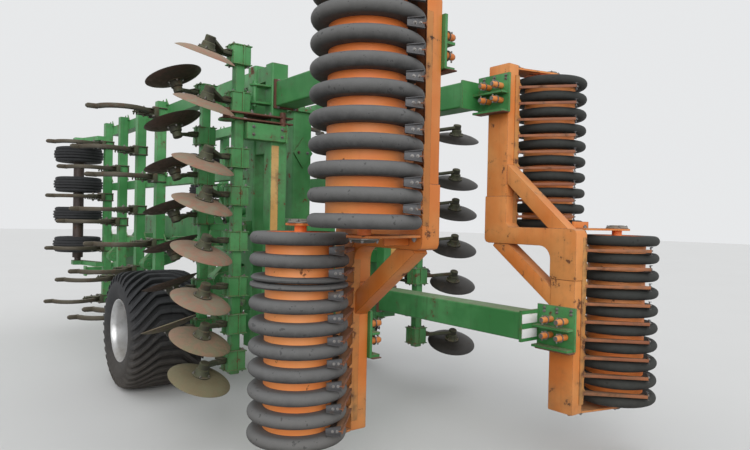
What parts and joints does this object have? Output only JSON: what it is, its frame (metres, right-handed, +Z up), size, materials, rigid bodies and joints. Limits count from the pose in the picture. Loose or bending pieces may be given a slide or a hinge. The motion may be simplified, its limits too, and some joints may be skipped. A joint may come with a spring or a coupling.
{
  "type": "folding trailed stubble cultivator",
  "caption": "Trailed stubble cultivator folded for the road: spring tines, dished disc rows and ring rollers on two upright wings over a wheeled chassis with a lower-link hitch.",
  "frame": {"origin": "on the ground, at the middle of the bounding box", "axes": "+X to the machine's right, +Y the way it travels, +Z up"},
  "size_m": [3.0132, 9.441, 2.99],
  "materials": {
    "green_enamel": "worn satin enamel with rust",
    "orange_enamel": "faded satin enamel with rust",
    "silver_enamel": "dusty silver enamel",
    "disc_steel": "rusted rolled steel",
    "worn_steel": "soil-worn steel",
    "scraper_steel": "grey plate",
    "bare_steel": "bright worn steel",
    "chromed_steel": "polished",
    "tyre_rubber": "dusty",
    "ring_rubber": "dusty, chipped"
  },
  "bodies": {
    "chassis": {"chassis_frame": "green_enamel", "fold_feet": "green_enamel", "rear_post": "green_enamel", "drawbar": "green_enamel", "axle_arms": "green_enamel", "axle_cylinders": "green_enamel"},
    "hitch": {"hitch_crossbar": "green_enamel"},
    "jack": {"jack_leg": "bare_steel"},
    "wing_left": {"wing_rails_left": "green_enamel", "wing_uprights_left": "green_enamel", "hinge_lugs_left": "green_enamel", "tine_legs_left": "orange_enamel", "tine_points_left": "worn_steel", "disc_carrier_left": "green_enamel", "disc_links_left": "green_enamel", "discs_left": "disc_steel", "front_arms_left": "green_enamel", "roller_arms_left": "green_enamel", "roller_frame_left": "orange_enamel", "scrapers_left": "scraper_steel"},
    "wheel_left": {"wheel_rim_left": "silver_enamel", "wheel_tyre_left": "tyre_rubber"},
    "front_set_left": {"front_axle_left": "silver_enamel", "front_tyres_left": "tyre_rubber"},
    "lower_roller_left": {"lower_drum_left": "orange_enamel", "lower_rings_left": "ring_rubber"},
    "upper_roller_left": {"upper_drum_left": "orange_enamel", "upper_rings_left": "ring_rubber"},
    "fold_barrel_left": {"fold_barrel_left": "green_enamel"},
    "fold_rod_left": {"fold_rod_left": "chromed_steel"},
    "wing_right": {"wing_rails_right": "green_enamel", "wing_uprights_right": "green_enamel", "hinge_lugs_right": "green_enamel", "tine_legs_right": "orange_enamel", "tine_points_right": "worn_steel", "disc_carrier_right": "green_enamel", "disc_links_right": "green_enamel", "discs_right": "disc_steel", "front_arms_right": "green_enamel", "roller_arms_right": "green_enamel", "roller_frame_right": "orange_enamel", "scrapers_right": "scraper_steel"},
    "wheel_right": {"wheel_rim_right": "silver_enamel", "wheel_tyre_right": "tyre_rubber"},
    "front_set_right": {"front_axle_right": "silver_enamel", "front_tyres_right": "tyre_rubber"},
    "lower_roller_right": {"lower_drum_right": "orange_enamel", "lower_rings_right": "ring_rubber"},
    "upper_roller_right": {"upper_drum_right": "orange_enamel", "upper_rings_right": "ring_rubber"},
    "fold_barrel_right": {"fold_barrel_right": "green_enamel"},
    "fold_rod_right": {"fold_rod_right": "chromed_steel"}
  },
  "joints": [
    {"name": "fold_left", "type": "hinge", "parent": "chassis", "child": "wing_left", "pos_m": [-0.72, 0.415, 1.08], "axis": [0, -1, 0], "range_deg": [0, 90]},
    {"name": "fold_barrel_swing_left", "type": "hinge", "parent": "chassis", "child": "fold_barrel_left", "pos_m": [0.25, -1.165, 1.95], "axis": [0, -1, 0], "range_deg": [0, 2.31]},
    {"name": "fold_rod_slide_left", "type": "slide", "parent": "fold_barrel_left", "child": "fold_rod_left", "axis": [-0.918, 0, -0.3967], "range_m": [0, 0.7701]},
    {"name": "wheel_spin_left", "type": "hinge", "parent": "chassis", "child": "wheel_left", "pos_m": [-1.05, -0.865, 0.56], "axis": [1, 0, 0], "continuous": true},
    {"name": "front_spin_left", "type": "hinge", "parent": "wing_left", "child": "front_set_left", "pos_m": [-0.99, 2.735, 2], "axis": [0, 0, 1], "continuous": true},
    {"name": "lower_roller_spin_left", "type": "hinge", "parent": "wing_left", "child": "lower_roller_left", "pos_m": [-1.16, -3.795, 1], "axis": [0, 0, 1], "continuous": true},
    {"name": "upper_roller_spin_left", "type": "hinge", "parent": "wing_left", "child": "upper_roller_left", "pos_m": [-1.16, -4.415, 2.2], "axis": [0, 0, 1], "continuous": true},
    {"name": "fold_right", "type": "hinge", "parent": "chassis", "child": "wing_right", "pos_m": [0.72, 0.415, 1.08], "axis": [0, 1, 0], "range_deg": [0, 90]},
    {"name": "fold_barrel_swing_right", "type": "hinge", "parent": "chassis", "child": "fold_barrel_right", "pos_m": [-0.25, -0.665, 1.95], "axis": [0, 1, 0], "range_deg": [0, 2.31]},
    {"name": "fold_rod_slide_right", "type": "slide", "parent": "fold_barrel_right", "child": "fold_rod_right", "axis": [0.918, 0, -0.3967], "range_m": [0, 0.7701]},
    {"name": "wheel_spin_right", "type": "hinge", "parent": "chassis", "child": "wheel_right", "pos_m": [1.05, -0.865, 0.56], "axis": [1, 0, 0], "continuous": true},
    {"name": "front_spin_right", "type": "hinge", "parent": "wing_right", "child": "front_set_right", "pos_m": [0.99, 2.735, 2], "axis": [0, 0, 1], "continuous": true},
    {"name": "lower_roller_spin_right", "type": "hinge", "parent": "wing_right", "child": "lower_roller_right", "pos_m": [1.16, -4.415, 1], "axis": [0, 0, 1], "continuous": true},
    {"name": "upper_roller_spin_right", "type": "hinge", "parent": "wing_right", "child": "upper_roller_right", "pos_m": [1.16, -3.795, 2.2], "axis": [0, 0, 1], "continuous": true},
    {"name": "hitch_swivel", "type": "hinge", "parent": "chassis", "child": "hitch", "pos_m": [0, 4.515, 0.65], "axis": [0, 0, 1], "range_deg": [-45, 45]},
    {"name": "jack_slide", "type": "slide", "parent": "chassis", "child": "jack", "axis": [0, 0, 1], "range_m": [0, 0.4]}
  ],
  "couplings": [
    {"joint": "fold_barrel_swing_left", "follows": "fold_left", "ratio": 0.023435},
    {"joint": "fold_rod_slide_left", "follows": "fold_left", "m_per_rad": 0.48901},
    {"joint": "fold_barrel_swing_right", "follows": "fold_right", "ratio": 0.023435},
    {"joint": "fold_rod_slide_right", "follows": "fold_right", "m_per_rad": 0.48901}
  ]
}
